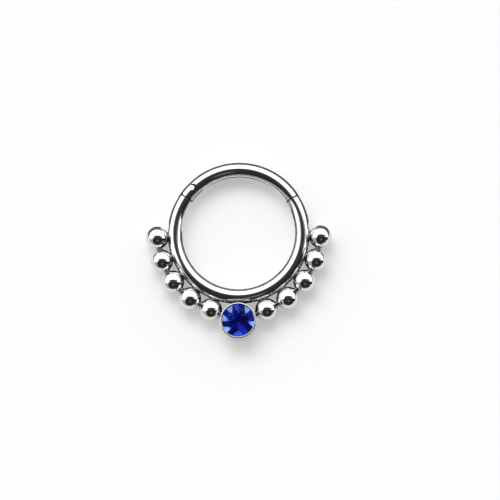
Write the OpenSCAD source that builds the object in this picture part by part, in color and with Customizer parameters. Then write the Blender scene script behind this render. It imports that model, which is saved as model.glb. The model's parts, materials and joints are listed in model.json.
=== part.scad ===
// Nose hoop: a hinged clicker ring of round wire, with soldered balls along its
// lower half and a bezel-set round stone at the bottom. It lies flat on its side:
// +Z is the ring's own axis, +Y points to the hinged segment, -Y to the stone.
// All sizes are in millimetres.

/* [Ring] */
// Inside diameter of the ring
inner_d = 10; // [9:0.5:12]
// Thickness of the round wire
wire_d = 1.29; // [1.1:0.01:1.5]
// Angle of the joint line at the hinge, anticlockwise from +X
hinge_angle = 146; // [135:1:155]
// Angle of the joint line at the latch
latch_angle = 32; // [25:1:45]
// Gap between the ring's ends and the segment's ends
joint_gap = 0.08; // [0.05:0.01:0.1]

/* [Hinge] */
// Diameter of the hinge pin
pin_d = 0.44; // [0.36:0.02:0.48]
// Distance along the wire from the joint line to the pin
pin_reach = 1.0; // [0.9:0.05:1.2]
// Distance from the wire's centre line out to the pin
pin_offset = 0.12; // [0.08:0.01:0.15]
// Clearance between the pin and the holes in the fork
pin_fit = 0.015; // [0.01:0.005:0.03]
// Clearance between the pin and the hole in the tongue
pin_play = 0.03; // [0.02:0.005:0.05]
// Thickness of the ring's tongue between the fork's ears
tongue_t = 0.42; // [0.36:0.02:0.46]
// Gap between the tongue and each ear
tongue_gap = 0.03; // [0.02:0.01:0.05]

/* [Latch] */
// Thickness of the segment's latch blade
latch_t = 0.32; // [0.24:0.02:0.36]
// Width of the latch blade
latch_w = 0.8; // [0.6:0.05:0.9]
// Length of the latch blade beyond the joint line
latch_len = 0.7; // [0.5:0.05:0.9]
// Clearance round the latch blade in its slot
latch_gap = 0.04; // [0.03:0.01:0.06]

/* [Balls] */
// Diameter of each ball
ball_d = 2; // [1.8:0.05:2.05]
// Number of balls on each side
balls_per_side = 5; // [2:1:5]
// Angle of the first ball below the ring's widest line
ball_start = 2.9; // [2.1:0.1:3.6]
// Angle from one ball to the next
ball_step = 16.8; // [16.6:0.1:17]
// How far each ball is set into the wire
ball_bite = 0.05; // [0.02:0.01:0.08]
// Diameter of the weld necks at the balls
weld_d = 0.45; // [0.4:0.05:0.7]

/* [Bezel] */
// Outside diameter of the bezel cup
bezel_d = 3.2; // [3:0.05:3.3]
// Height of the bezel cup
bezel_h = 2; // [1.9:0.05:2.2]
// Wall of the cup beside the stone
bezel_wall = 0.13; // [0.1:0.01:0.16]
// How far the cup is set into the wire
bezel_bite = 0.03; // [0.02:0.01:0.06]
// How far the rim is rolled in over the stone
rim_roll = 0.045; // [0.03:0.005:0.06]
// Rounding of the cup's outer edges
edge_cut = 0.06; // [0.03:0.01:0.1]

/* [Stone] */
// Gap between the stone and the cup's wall
stone_gap = 0.03; // [0.02:0.01:0.05]
// Height of the crown above the girdle
crown_h = 0.42; // [0.3:0.02:0.5]
// Depth of the pavilion below the girdle
pavilion_h = 1.15; // [1:0.05:1.2]
// Thickness of the girdle
girdle_t = 0.06; // [0.04:0.01:0.1]
// Width of the table as a share of the stone's width
table_share = 0.56; // [0.5:0.01:0.62]
// Turn of the cut about the stone's axis
stone_turn = -5; // [-22:1:22]

/* [Hidden] */
$fn = 96;

wire_r = wire_d / 2;
ring_r = inner_d / 2 + wire_r;
outer_r = ring_r + wire_r;
gap_angle = joint_gap / ring_r * 180 / PI;

ball_r = ball_d / 2;
ball_ring_r = outer_r - ball_bite + ball_r;
mid_z = ball_r;
bezel_r = bezel_d / 2;
bezel_reach = outer_r - bezel_bite + bezel_r;
// The origin is the middle of the ring's whole outline, so the centre lies a little to +Y.
ring_y = (bezel_reach + bezel_r - outer_r) / 2;
bezel_y = ring_y - bezel_reach;

// The wire runs on past the pin by this angle before it is cut to the tongue.
past_pin = 8;
// The pin's place on the ring, and how near the ring's end face comes to it.
pin_r = pin_d / 2;
pin_angle = hinge_angle - pin_reach / ring_r * 180 / PI;
pin_ring_r = ring_r + pin_offset;
end_face_reach = pin_ring_r * sin(hinge_angle - pin_angle);
// The fork's outer corner turns past the ring's end face with this much room.
swing_gap = 0.035;
swing_r = end_face_reach - swing_gap;
// Only metal further out than this from the pin's level is taken off the corner.
swing_from = 0.15;
// The tongue ends in an arc about the pin, and the fork's slot is a little deeper.
pin_depth = wire_r - pin_offset;
tongue_end_r = pin_depth - 0.02;
slot_floor = pin_depth + 0.05;
slot_t = tongue_t + 2 * tongue_gap;
// The pin's ends stand this much proud of the wire's surface.
pin_proud = 0.012;

// The saw cut for the latch blade.
latch_depth = latch_len + 2 * latch_gap;
latch_slot_t = latch_t + 2 * latch_gap;
// How far the blade is rooted in the segment.
latch_root = 0.4;

// Weld necks run this far into what they join.
weld_bite = 0.28;
bezel_weld_d = 0.6;
ball_bezel_weld_d = 0.45;

// Levels and radii in the cup, from its rim down.
rim_round = 1.5 * edge_cut;
lip_round = edge_cut / 3;
lip_r = bezel_r - bezel_wall - rim_roll;
lip_low = bezel_h - 0.1;
bore_top = bezel_h - 0.2;
seat_z = bezel_h - 0.5;
bore_r = bezel_r - bezel_wall;
seat_r = bore_r - 0.13;
recess_floor = 0.34;
recess_r = 0.14;

girdle_r = bore_r - stone_gap;
girdle_top = bezel_h - 0.33;
girdle_low = girdle_top - girdle_t;
table_z = girdle_top + crown_h;
culet_z = girdle_low - pavilion_h;
table_r = table_share * girdle_r;

// A block larger than the wire, for cuts that run right through it.
cut = 2;

// Places children at the middle of the ring.
module at_ring() translate([0, ring_y, mid_z]) children();

// Places children at an angle round the ring: X outwards from the centre, Y anticlockwise.
module round_ring(angle, r = 0) at_ring() rotate(angle) translate([r, 0, 0]) children();

// Places children on the pin's axis: X along the wire into the segment, Y outwards.
module at_pin() round_ring(pin_angle, pin_ring_r) rotate(-90) children();

// A stretch of the wire from one angle to another.
module wire_arc(from, to, d = wire_d)
    at_ring() rotate(from) rotate_extrude(angle = to - from) translate([ring_r, 0]) circle(d = d);

// A round bar between two points at one height.
module bar(a, b, d) {
    along = b - a;
    translate([a.x, a.y, mid_z]) rotate([0, 90, atan2(along.y, along.x)])
        cylinder(d = d, h = norm(along));
}

function ball_point(side, i) = let(a = ball_start + i * ball_step)
    [side * ball_ring_r * cos(a), ring_y - ball_ring_r * sin(a)];
// The point that lies a distance from a towards b.
function towards(a, b, distance) = a + (b - a) / norm(b - a) * distance;

// A weld neck between two round pieces of radius ra and rb, run into each of them.
module weld(a, ra, b, rb, d) bar(towards(a, b, ra - weld_bite), towards(b, a, rb - weld_bite), d);

// The flat tongue's outline, seen along the pin: a round end, cut back towards the ring's inside.
module tongue_outline() {
    circle(r = tongue_end_r);
    corner = tongue_end_r * 0.95 * cos(45);
    polygon([[0, cut], [-cut, cut], [-cut, -cut], [-tongue_end_r, -cut], [corner, -corner], [0, 0]]);
}

// The open space round the tongue where the segment's fork goes.
module fork_space() difference() {
    round_ring(hinge_angle, ring_r) translate([-cut / 2, -cut, -cut / 2]) cube(cut);
    at_pin() translate([0, 0, -tongue_t / 2]) linear_extrude(tongue_t) tongue_outline();
}

// The saw cut in the ring's other end that takes the latch blade.
module latch_slot() round_ring(latch_angle, ring_r)
    translate([-cut / 2, -latch_depth, -latch_slot_t / 2]) cube([cut, cut, latch_slot_t]);

module ring_wire() difference() {
    wire_arc(pin_angle - past_pin, 360 + latch_angle);
    fork_space();
    latch_slot();
    at_pin() cylinder(r = pin_r + pin_play, h = cut, center = true);
}

// One side's balls, each welded to the ring and to the next, the last one to the cup.
module balls(side) for (i = [0 : balls_per_side - 1]) {
    here = ball_point(side, i);
    on_wire = here + ([0, ring_y] - here) * (1 - ring_r / ball_ring_r);
    translate([here.x, here.y, mid_z]) sphere(r = ball_r);
    weld(here, ball_r, on_wire, wire_r, weld_d);
    if (i < balls_per_side - 1)
        weld(here, ball_r, ball_point(side, i + 1), ball_r, weld_d);
    else if (balls_per_side == 5)
        weld(here, ball_r, [0, bezel_y], bezel_r, ball_bezel_weld_d);
}

// The bezel cup: a flat base, a tapered recess, a seat, and a rim rolled in over the stone.
module bezel_cup() {
    translate([0, bezel_y, 0]) rotate_extrude() polygon([
        [0, 0],
        [bezel_r - edge_cut, 0],
        [bezel_r, edge_cut],
        [bezel_r, bezel_h - rim_round],
        [bezel_r - edge_cut, bezel_h],
        [lip_r + lip_round, bezel_h],
        [lip_r, bezel_h - lip_round],
        [lip_r, lip_low],
        [bore_r, bore_top],
        [bore_r, seat_z],
        [seat_r, seat_z],
        [recess_r, recess_floor],
        [0, recess_floor]
    ]);
    weld([0, ring_y - ring_r], wire_r, [0, bezel_y], bezel_r, bezel_weld_d);
}

// The ring with everything soldered to it.
module hoop() color("silver") union() {
    ring_wire();
    for (side = [-1, 1]) balls(side);
    bezel_cup();
}

// What is taken off the fork's outer corner so that it turns clear of the ring's end.
module swing_corner() difference() {
    round_ring(hinge_angle, pin_ring_r * cos(hinge_angle - pin_angle))
        translate([swing_from, -swing_r / 2, -cut / 2]) cube(cut);
    at_pin() cylinder(r = swing_r, h = 2 * cut, center = true);
}

// The slot between the fork's ears, open to both sides of the ring.
module fork_slot() at_pin() translate([slot_floor - 2 * cut, -cut, -slot_t / 2])
    cube([2 * cut, 2 * cut, slot_t]);

// The flat blade with a round end that closes into the ring's slot.
module latch_blade() {
    w = latch_w / 2;
    round_ring(latch_angle, ring_r) translate([0, 0, -latch_t / 2]) linear_extrude(latch_t) {
        translate([-w, w - latch_len]) square([latch_w, latch_len - w + latch_root]);
        translate([0, w - latch_len]) circle(r = w);
    }
}

module hinged_segment() color("gainsboro") union() {
    difference() {
        wire_arc(latch_angle + gap_angle, hinge_angle - gap_angle);
        swing_corner();
        fork_slot();
        at_pin() cylinder(r = pin_r + pin_fit, h = cut, center = true);
    }
    latch_blade();
}

// The hinge pin, its ends dressed down to the round of the wire.
module hinge_pin() color("darkgray") intersection() {
    at_pin() cylinder(r = pin_r, h = cut, center = true);
    wire_arc(pin_angle - past_pin, pin_angle + past_pin, wire_d + 2 * pin_proud);
}

// Round brilliant cut, built from rings of corners at eighths of a turn.
crown_eighths = [for (i = [0 : 7]) 45 * i];
between_eighths = [for (i = [0 : 7]) 45 * i + 22.5];
sixteenths = [for (i = [0 : 15]) 22.5 * i];
// Corners between the table and the girdle, level with the kite facets' planes.
star_r = (table_r * 0.46 + girdle_r * 0.54) / cos(22.5);
star_z = table_z - crown_h * (star_r * cos(22.5) - table_r) / (girdle_r - table_r);
// Corners between the culet and the girdle, level with the pavilion's main facets.
half_r = 0.24 * girdle_r;
half_z = culet_z + pavilion_h * half_r * cos(22.5) / girdle_r;

function ring_of(r, z, angles) = [for (a = angles) [r * cos(a), r * sin(a), z]];
stone_points = concat(
    ring_of(table_r, table_z, crown_eighths),
    ring_of(star_r, star_z, between_eighths),
    ring_of(girdle_r, girdle_top, sixteenths),
    ring_of(girdle_r, girdle_low, sixteenths),
    ring_of(half_r, half_z, between_eighths),
    [[0, 0, culet_z]]
);
// Where each ring of corners starts in the list.
table_at = 0;
star_at = 8;
top_at = 16;
low_at = 32;
half_at = 48;
culet_at = 56;

// Facets are listed clockwise as seen from outside.
stone_facets = concat(
    [[for (i = [7 : -1 : 0]) table_at + i]],
    [for (i = [0 : 7]) [table_at + i, table_at + (i + 1) % 8, star_at + i]],
    [for (i = [0 : 7]) [table_at + i, star_at + i, top_at + 2 * i, star_at + (i + 7) % 8]],
    [for (i = [0 : 7]) [star_at + i, top_at + 2 * i + 1, top_at + 2 * i]],
    [for (i = [0 : 7]) [star_at + i, top_at + (2 * i + 2) % 16, top_at + 2 * i + 1]],
    [for (i = [0 : 15]) [top_at + i, top_at + (i + 1) % 16, low_at + (i + 1) % 16, low_at + i]],
    [for (i = [0 : 7]) [half_at + i, low_at + 2 * i, low_at + 2 * i + 1]],
    [for (i = [0 : 7]) [half_at + i, low_at + 2 * i + 1, low_at + (2 * i + 2) % 16]],
    [for (i = [0 : 7]) [culet_at, half_at + (i + 7) % 8, low_at + 2 * i, half_at + i]]
);

module stone() color("royalblue") translate([0, bezel_y, 0]) rotate(stone_turn)
    polyhedron(points = stone_points, faces = stone_facets, convexity = 2);

hoop();
hinged_segment();
hinge_pin();
stone();
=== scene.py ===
"""Nose hoop: a hinged clicker ring with soldered balls and a bezel-set round stone.

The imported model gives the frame. The ring, the hinged segment, its pin and the stone are
built again here with finer surfaces and rounded edges, because mirror polish shows every
facet. Sizes in the code are in millimetres, and each mesh is scaled to metres at its end.
"""

import json
import math

import bmesh
import bpy
import numpy as np
from bpy.props import FloatProperty, FloatVectorProperty, IntProperty, PointerProperty
from mathutils import Matrix, Vector


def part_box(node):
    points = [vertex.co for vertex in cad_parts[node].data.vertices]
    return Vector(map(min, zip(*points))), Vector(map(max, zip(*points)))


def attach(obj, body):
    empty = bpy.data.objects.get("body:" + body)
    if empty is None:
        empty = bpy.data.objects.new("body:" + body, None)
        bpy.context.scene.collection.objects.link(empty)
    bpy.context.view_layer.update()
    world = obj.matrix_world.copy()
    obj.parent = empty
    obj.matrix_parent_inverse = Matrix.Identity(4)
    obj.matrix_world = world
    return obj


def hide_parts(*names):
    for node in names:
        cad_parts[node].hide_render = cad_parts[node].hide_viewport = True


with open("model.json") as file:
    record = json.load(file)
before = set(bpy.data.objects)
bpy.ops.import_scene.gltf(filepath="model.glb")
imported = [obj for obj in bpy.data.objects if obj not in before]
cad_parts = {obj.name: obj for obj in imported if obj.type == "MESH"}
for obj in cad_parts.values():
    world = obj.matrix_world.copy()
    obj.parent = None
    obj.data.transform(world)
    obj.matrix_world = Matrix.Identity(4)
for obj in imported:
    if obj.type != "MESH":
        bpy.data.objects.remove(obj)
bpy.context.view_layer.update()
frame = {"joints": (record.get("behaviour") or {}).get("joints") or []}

bl_info = {
    "name": "Nose Hoop",
    "version": (1, 0, 0),
    "blender": (4, 5, 0),
    "location": "3D View > Sidebar > Nose Hoop",
    "description": "Builds a hinged nose hoop with soldered balls and a bezel-set stone",
    "category": "Object",
}

MM = 0.001
TO_METRES = Matrix.Scale(MM, 4)


def box_mm(node):
    """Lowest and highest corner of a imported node, in millimetres."""
    low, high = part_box(node)
    return np.array(low) / MM, np.array(high) / MM


HINGE = next(joint for joint in frame["joints"] if joint["name"] == "segment_hinge")
PIN_PLACE = np.array(HINGE["pos_m"]) / MM
SEGMENT_HIGH = box_mm("hinged_segment")[1]
STONE_LOW, STONE_HIGH = box_mm("stone")

# The two joints' sizes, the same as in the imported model.
PIN_RADIUS = 0.22
PIN_HOLE_RADIUS = 0.235
TONGUE_HOLE_RADIUS = 0.25
PIN_PROUD = 0.012
PIN_OFFSET = 0.12
PAST_PIN = math.radians(8)
TONGUE_THICKNESS = 0.42
FORK_SLOT_THICKNESS = 0.48
SLOT_PAST_WIRE = 0.05
SWING_GAP = 0.035
SWING_FROM = 0.15
LATCH_DEPTH = 0.78
LATCH_SLOT_THICKNESS = 0.4
BLADE_THICKNESS = 0.32
BLADE_LENGTH = 0.7
BLADE_HALF_WIDTH = 0.4
BLADE_ROOT = 0.4

# How far the tongue stays inside the wire's outer side and its surface, how far its root
# runs into the ring's end, and where the hollow that lets the fork swing ends.
TONGUE_TIP_GAP = 0.02
TONGUE_SIDE_GAP = 0.003
TONGUE_ROOT = math.radians(1.5)
SWING_TO = math.radians(30)

# Half size of the plates and rods that cut the wire, so that they reach right through it.
THROUGH = 1
WELL_THROUGH = 2

# Faces further than this inside the polished surface are bare saw cuts. The hoop's cuts lie
# this far or more from the ring's middle, towards the segment. A level face this far above
# the wire's own level is ground, and keeps its polish.
CUT_DEPTH = 0.002
CUTS_ABOVE = 1.5
GROUND_FACES_FROM = 0.5

# The round shapes: faces round and along the wire, round a turned piece and at a rounded
# edge, and how finely a ball is divided, with the axis and the turn that differs by ball.
WIRE_SIDES = 64
WIRE_SPACING = 0.1
LATHE_SIDES = 160
EDGE_STEPS = 5
BALL_DIVISIONS = 5
BALL_AXIS = (1, 2, 3)
BALL_TURN = 0.7

# The solder necks' radii, and how far they run into what they join.
BALL_NECK = 0.225
CUP_NECK = 0.3
NECK_BITE = 0.28

# Solder flows only this near the wire's level, and no further than this from the ring's
# middle towards the segment. The last value is the flow of a crease that is left sharp.
SOLDER_LEVEL = 0.8
SOLDER_UP_TO = 1.2
NO_FLOW = 1e-9

# How a solder crease is worked: edges shorter than a sliver go, longer ones than these are
# halved in turn, where the hollow is deeper than the first depth. Points deeper than the
# second are pulled onto the hollow and evened out, so many times.
SLIVER = 1e-4
CREASE_EDGES = (0.08, 0.06)
CREASE_TO_HALVE = 2e-4
CREASE_TO_PULL = 1e-5
EVENING_ROUNDS = 6

# Shading: the step that a slope is measured over, the angle of a sharp edge, how near a
# surface a point counts as on it, and the cosine at which two directions count as the same.
SLOPE_STEP = 1e-4
SHARP_ANGLE = math.radians(32)
ON_SURFACE = 6e-4
SAME_WAY = 0.9

# How far the dark solder colour shows from a neck, as heated solder and as painted shade, and
# how far painted shade shows in a crevice between two surfaces. Painted shade on the cup's side:
# how far out from its wall, how far from the wire, and how close under the rim it ends. The last
# value is how fast all of it fades.
NECK_SOLDER_AND_SHADE_REACH = 0.16
CREVICE_SHADE_REACH = 0.3
CUP_SHADE_FROM_WALL = 0.5
CUP_SHADE_FROM_WIRE = 1.6
CUP_SHADE_RIM_FADE = 0.03
SOLDER_AND_SHADE_FALL = 1.3

# The cup's section: the roundings of its foot and of its rim's two edges, how much wider the
# bore and narrower the seat are than the lip, the depths of lip, bore and seat under the rim,
# the flat at the bottom of the recess, and the rings that divide its base and its wall.
CUP_FOOT = 0.06
CUP_OUTER_EDGE = 0.09
CUP_INNER_EDGE = 0.05
BORE_WIDER = 0.045
SEAT_NARROWER = 0.085
LIP_DEPTH = 0.1
BORE_DEPTH = 0.2
SEAT_DEPTH = 0.5
RECESS_RADIUS = 0.14
RECESS_FLOOR = 0.34
CUP_BASE_RING = 0.2
CUP_WALL_RING = 0.35

# The cut stone's levels and widths.
GIRDLE_RADIUS = 1.44
GIRDLE_TOP = 1.67
GIRDLE_LOW = 1.61
TABLE_SHARE = 0.56
STONE_TURN = math.radians(21.5)
HALF_FACET_SHARE = 0.44
STAR_SHARES = (0.46, 0.54)

# Facets of the stone's back with painted light: painted flashes, lighter and lit facets,
# counted round it in threes: two half facets at the girdle, then a main facet. The others stay
# in deep painted shade.
PAINTED_FLASH_FACETS = (1, 6, 9, 12, 21)
PAINTED_LIGHT_FACETS = (4, 15, 16)
PAINTED_LIT_FACETS = (0, 3, 7, 18, 20, 22)

# Where the painted flashes fade out to the deep painted shade towards the middle, as shares
# of the girdle's radius.
PAINTED_FLASH_FADE = (0.5, 0.74)

# The spot ground flat over the pin: its middle clockwise and outwards from the pin, its
# radius, its depth under the wire's top and its slope, falling outwards. Its outline strays
# from round twice and three times on the way round, and the tool ends over the wire.
SPOT_ALONG = 0.16
SPOT_OUT = -0.1
SPOT_RADIUS = 0.33
SPOT_DEPTH = 0.065
SPOT_SLOPE = 0.2
SPOT_STRAY = (0.07, 0.04)
SPOT_SIDES = 48
SPOT_TOOL_TOP = 1.5

# The pin's heads: faces round them, rings from the middle out as shares of the radius, the
# rounding of the edge with its rings, how far one stands over the ground spot, and how bright
# its steel is beside the wire's.
PIN_SIDES = 64
PIN_RINGS = (0.25, 0.5, 0.7, 0.82, 0.9)
PIN_EDGE = 0.012
PIN_EDGE_RINGS = (0.5, 1.0, math.pi / 2)
PIN_OVER_SPOT = 0.006
PIN_SHADE = 0.94

# The crystal's refraction, and the tint of its own shine, which a coating keeps low.
CRYSTAL_IOR = 1.4
GLASS_SHINE = (0.12, 0.14, 0.3)

# How dark the darkest places of the crystal and of a foil are, as a share of the colour.
CRYSTAL_DEPTH = 0.8
FOIL_DEPTH = 0.75

# The foils on the stone's back, in the stone's blue at painted brightnesses, from deep painted
# shade to painted flashes: name, setting that holds the colour, how metallic, how rough, how
# much it glows as painted light, how far it fades to the deep painted shade in the middle, and
# its facets.
FOILS = (
    ("deep foil", "painted_deep_shade_colour", 0.7, 0.08, 0.0, 0.0, ()),
    ("foil", "painted_lit_colour", 0.4, 0.2, 0.08, 0.0, PAINTED_LIT_FACETS),
    ("light foil", "painted_light_colour", 0.2, 0.25, 0.25, 0.5, PAINTED_LIGHT_FACETS),
    ("flashing foil", "painted_flash_colour", 0.0, 0.3, 0.65, 1.0, PAINTED_FLASH_FACETS),
)

# Polishing paste that stays in the joint lines, and the depths under the wire's surface
# between which it thickens.
PASTE_COLOUR = (0.03, 0.028, 0.026)
PASTE_DEPTHS = (0.42, 0.15)

# Polishing marks: how hairlines and scuffs are stretched, how much ripples add to the waves
# and scuffs to the hairlines, how deep they cut, how much haze and marks roughen the polish
# and haze dulls it, the brightness of dulled steel, the height of the waves in millimetres,
# and how much rougher solder is.
HAIRLINE_STRETCH = (0.8, 14.0, 14.0)
SCUFF_STRETCH = (9.0, 1.1, 5.0)
RIPPLE_SHARE = 0.12
SCUFF_SHARE = 0.7
MARK_DEPTH = 0.03
HAZE_ROUGHNESS = 0.05
MARK_ROUGHNESS = 0.035
HAZE_DULLING = 0.16
DULLED_SHARE = 0.72
BUFFING_HEIGHT = 0.004
SOLDER_ROUGHNESS = 0.25

# The ring's middle in the 500 pixel picture, and its scale there.
RING_PIXEL = (238.7, 233.1)
PICTURE_MIDDLE = 250
PIXELS_PER_MM = 11.3


# Settings


class RingSettings(bpy.types.PropertyGroup):
    """The wire and its two joints."""

    ring_radius: FloatProperty(
        name="Ring radius",
        description="From the middle of the ring to the middle of the wire",
        default=0.005645,
        precision=5,
        unit="LENGTH",
        subtype="DISTANCE",
    )
    wire_radius: FloatProperty(
        name="Wire radius",
        description="Half the thickness of the round wire",
        default=0.000645,
        precision=5,
        unit="LENGTH",
        subtype="DISTANCE",
    )
    hinge_angle: FloatProperty(
        name="Hinge angle",
        description="Where the joint line at the hinge is, anticlockwise from the latch side",
        default=math.radians(146),
        unit="ROTATION",
        subtype="ANGLE",
    )
    latch_angle: FloatProperty(
        name="Latch angle",
        description="Where the joint line at the latch is",
        default=math.radians(32),
        unit="ROTATION",
        subtype="ANGLE",
    )
    joint_gap: FloatProperty(
        name="Joint gap",
        description="Gap between the ring's ends and the segment's ends",
        default=0.00003,
        precision=5,
        unit="LENGTH",
        subtype="DISTANCE",
    )
    end_rounding: FloatProperty(
        name="End rounding",
        description="Rounding of the edges at the joint lines",
        default=0.00006,
        precision=5,
        unit="LENGTH",
        subtype="DISTANCE",
    )


class BallSettings(bpy.types.PropertyGroup):
    """The soldered balls along the lower half."""

    ball_radius: FloatProperty(
        name="Ball radius",
        description="Radius of each ball",
        default=0.001,
        precision=5,
        unit="LENGTH",
        subtype="DISTANCE",
    )
    balls_per_side: IntProperty(
        name="Balls a side",
        description="Number of balls on each side of the cup",
        default=5,
        min=1,
        max=5,
    )
    first_angle: FloatProperty(
        name="First ball",
        description="Angle of the first ball below the ring's widest line",
        default=math.radians(2.9),
        unit="ROTATION",
        subtype="ANGLE",
    )
    ball_step: FloatProperty(
        name="Step",
        description="Angle from one ball to the next",
        default=math.radians(16.8),
        unit="ROTATION",
        subtype="ANGLE",
    )
    ball_bite: FloatProperty(
        name="Bite",
        description="How far each ball is set into the wire",
        default=0.00005,
        precision=5,
        unit="LENGTH",
        subtype="DISTANCE",
    )
    solder_flow: FloatProperty(
        name="Solder flow",
        description="How far the solder creeps out round each neck",
        default=0.00012,
        precision=5,
        unit="LENGTH",
        subtype="DISTANCE",
    )


class CupSettings(bpy.types.PropertyGroup):
    """The bezel cup round the stone."""

    cup_radius: FloatProperty(
        name="Cup radius",
        description="Outside radius of the bezel cup",
        default=0.0016,
        precision=5,
        unit="LENGTH",
        subtype="DISTANCE",
    )
    cup_height: FloatProperty(
        name="Cup height",
        description="From the flat base to the top of the rim",
        default=0.002,
        precision=5,
        unit="LENGTH",
        subtype="DISTANCE",
    )
    rim_width: FloatProperty(
        name="Rim width",
        description="Width of the rolled rim seen from above",
        default=0.000175,
        precision=6,
        unit="LENGTH",
        subtype="DISTANCE",
    )


class FinishSettings(bpy.types.PropertyGroup):
    """Colours and polish of the metal and the stone."""

    steel_colour: FloatVectorProperty(
        name="Steel",
        description="Colour of the polished steel",
        default=(0.74, 0.735, 0.725),
        subtype="COLOR",
        min=0,
        max=1,
    )
    steel_roughness: FloatProperty(
        name="Polish",
        description="Roughness of the polished steel, where 0 is a perfect mirror",
        default=0.035,
        min=0,
        max=1,
        subtype="FACTOR",
    )
    # Also the colour of the painted shade in crevices, at the necks and on the cup's side.
    solder_and_shade_colour: FloatVectorProperty(
        name="Solder",
        description="Colour of the solder where it was heated",
        default=(0.11, 0.094, 0.08),
        subtype="COLOR",
        min=0,
        max=1,
    )
    sawn_colour: FloatVectorProperty(
        name="Saw cuts",
        description="Colour of the steel inside the joints, which isn't polished",
        default=(0.22, 0.215, 0.21),
        subtype="COLOR",
        min=0,
        max=1,
    )
    stone_colour: FloatVectorProperty(
        name="Stone",
        description="Body colour of the stone",
        default=(0.6, 0.8, 1.0),
        subtype="COLOR",
        min=0,
        max=1,
    )
    # Painted light: the foil colour of the lit facets.
    painted_lit_colour: FloatVectorProperty(
        name="Foil",
        description="Colour of the foil on the stone's back",
        default=(0.035, 0.06, 0.75),
        subtype="COLOR",
        min=0,
        max=1,
    )
    # Painted light: the foil colour of the lighter facets.
    painted_light_colour: FloatVectorProperty(
        name="Light foil",
        description="Colour of the foil on the lighter facets",
        default=(0.1, 0.2, 1.0),
        subtype="COLOR",
        min=0,
        max=1,
    )
    # Painted shade: the foil colour of the deep facets and of the stone's middle.
    painted_deep_shade_colour: FloatVectorProperty(
        name="Deep foil",
        description="Colour of the foil on the facets that stay deep",
        default=(0.03, 0.035, 0.36),
        subtype="COLOR",
        min=0,
        max=1,
    )
    # Painted highlight: the foil colour of the facets that flash.
    painted_flash_colour: FloatVectorProperty(
        name="Flashing foil",
        description="Colour of the foil on the facets that flash",
        default=(0.35, 0.59, 1.0),
        subtype="COLOR",
        min=0,
        max=1,
    )


class StageSettings(bpy.types.PropertyGroup):
    """Floor, light and camera."""

    floor_colour: FloatVectorProperty(
        name="Floor",
        description="Colour of the floor",
        default=(0.37, 0.37, 0.368),
        subtype="COLOR",
        min=0,
        max=1,
    )
    floor_glow: FloatProperty(
        name="Floor glow",
        description="Light that the floor lets through from below",
        default=0.42,
        min=0,
    )
    softbox_strength: FloatProperty(
        name="Softbox",
        description="Brightness of the large softbox overhead",
        default=1.9,
        min=0,
    )
    camera_distance: FloatProperty(
        name="Camera distance",
        description="From the middle of the ring to the camera",
        default=0.22,
        unit="LENGTH",
        subtype="DISTANCE",
    )
    camera_tilt: FloatProperty(
        name="Camera tilt",
        description="How far the camera leans away from straight above",
        default=math.radians(8),
        unit="ROTATION",
        subtype="ANGLE",
    )
    camera_side: FloatProperty(
        name="Camera side",
        description="Which way it leans: 0 is the stone's side, turning to the latch side",
        default=math.radians(22),
        unit="ROTATION",
        subtype="ANGLE",
    )


class NoseHoopSettings(bpy.types.PropertyGroup):
    """All settings of the nose hoop."""

    ring: PointerProperty(type=RingSettings)
    balls: PointerProperty(type=BallSettings)
    cup: PointerProperty(type=CupSettings)
    finish: PointerProperty(type=FinishSettings)
    stage: PointerProperty(type=StageSettings)


def settings():
    """The scene's nose hoop settings."""
    return bpy.context.scene.nose_hoop


def mm(value):
    """A setting in millimetres, without the noise of single precision."""
    return round(value / MM, 5)


# Shapes


def new_object(name, mesh):
    """Links a mesh to the scene as an object."""
    made = bpy.data.objects.new(name, mesh)
    bpy.context.scene.collection.objects.link(made)
    return made


def solid(name, points, faces):
    """A closed mesh with its faces turned outwards."""
    mesh = bpy.data.meshes.new(name)
    mesh.from_pydata([tuple(map(float, p)) for p in points], [], faces)
    work = bmesh.new()
    work.from_mesh(mesh)
    bmesh.ops.recalc_face_normals(work, faces=work.faces)
    work.to_mesh(mesh)
    work.free()
    return new_object(name, mesh)


def delete(*objects):
    """Removes objects that were only tools."""
    for tool in objects:
        mesh = tool.data
        bpy.data.objects.remove(tool)
        bpy.data.meshes.remove(mesh)


def combine(target, tools, operation):
    """Joins tools to a solid, or cuts them out of it, and removes the tools."""
    for tool in tools:
        step = target.modifiers.new(operation, "BOOLEAN")
        step.solver = "MANIFOLD"
        step.operation = operation
        step.object = tool
    graph = bpy.context.evaluated_depsgraph_get()
    result = bpy.data.meshes.new_from_object(target.evaluated_get(graph))
    target.modifiers.clear()
    before = target.data
    target.data = result
    bpy.data.meshes.remove(before)
    delete(*tools)
    if not result.polygons:
        raise RuntimeError(f"{target.name} came out empty after {operation}")


def ring_centre():
    """The middle of the ring: the wire's own height, and its reach below the segment's top."""
    ring = settings().ring
    y = SEGMENT_HIGH[1] - mm(ring.ring_radius) - mm(ring.wire_radius)
    return np.array([0, round(y, 3), round(PIN_PLACE[2], 3)])


def round_ring(angle, reach=None, height=0.0):
    """A point at an angle round the ring, by default on the wire's centre line."""
    if reach is None:
        reach = mm(settings().ring.ring_radius)
    out = np.array([math.cos(angle), math.sin(angle), 0])
    return ring_centre() + reach * out + np.array([0, 0, height])


def placed(angle, origin, along_wire=False):
    """A frame at a point: X outwards and Y anticlockwise, or X clockwise and Y outwards."""
    turn = angle - math.pi / 2 if along_wire else angle
    return Matrix.Translation(Vector(origin)) @ Matrix.Rotation(turn, 4, "Z")


def round_angles(sides):
    """Evenly spaced angles once round."""
    return [2 * math.pi * k / sides for k in range(sides)]


def band(low, high, count):
    """Faces between two rings of points, each given by its first point."""
    faces = []
    for k in range(count):
        after = (k + 1) % count
        faces.append([low + k, low + after, high + after, high + k])
    return faces


def prism_faces(count):
    """Faces of a prism whose points are two rings, one after the other."""
    return [list(range(count)), [count + k for k in range(count)], *band(0, count, count)]


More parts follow.
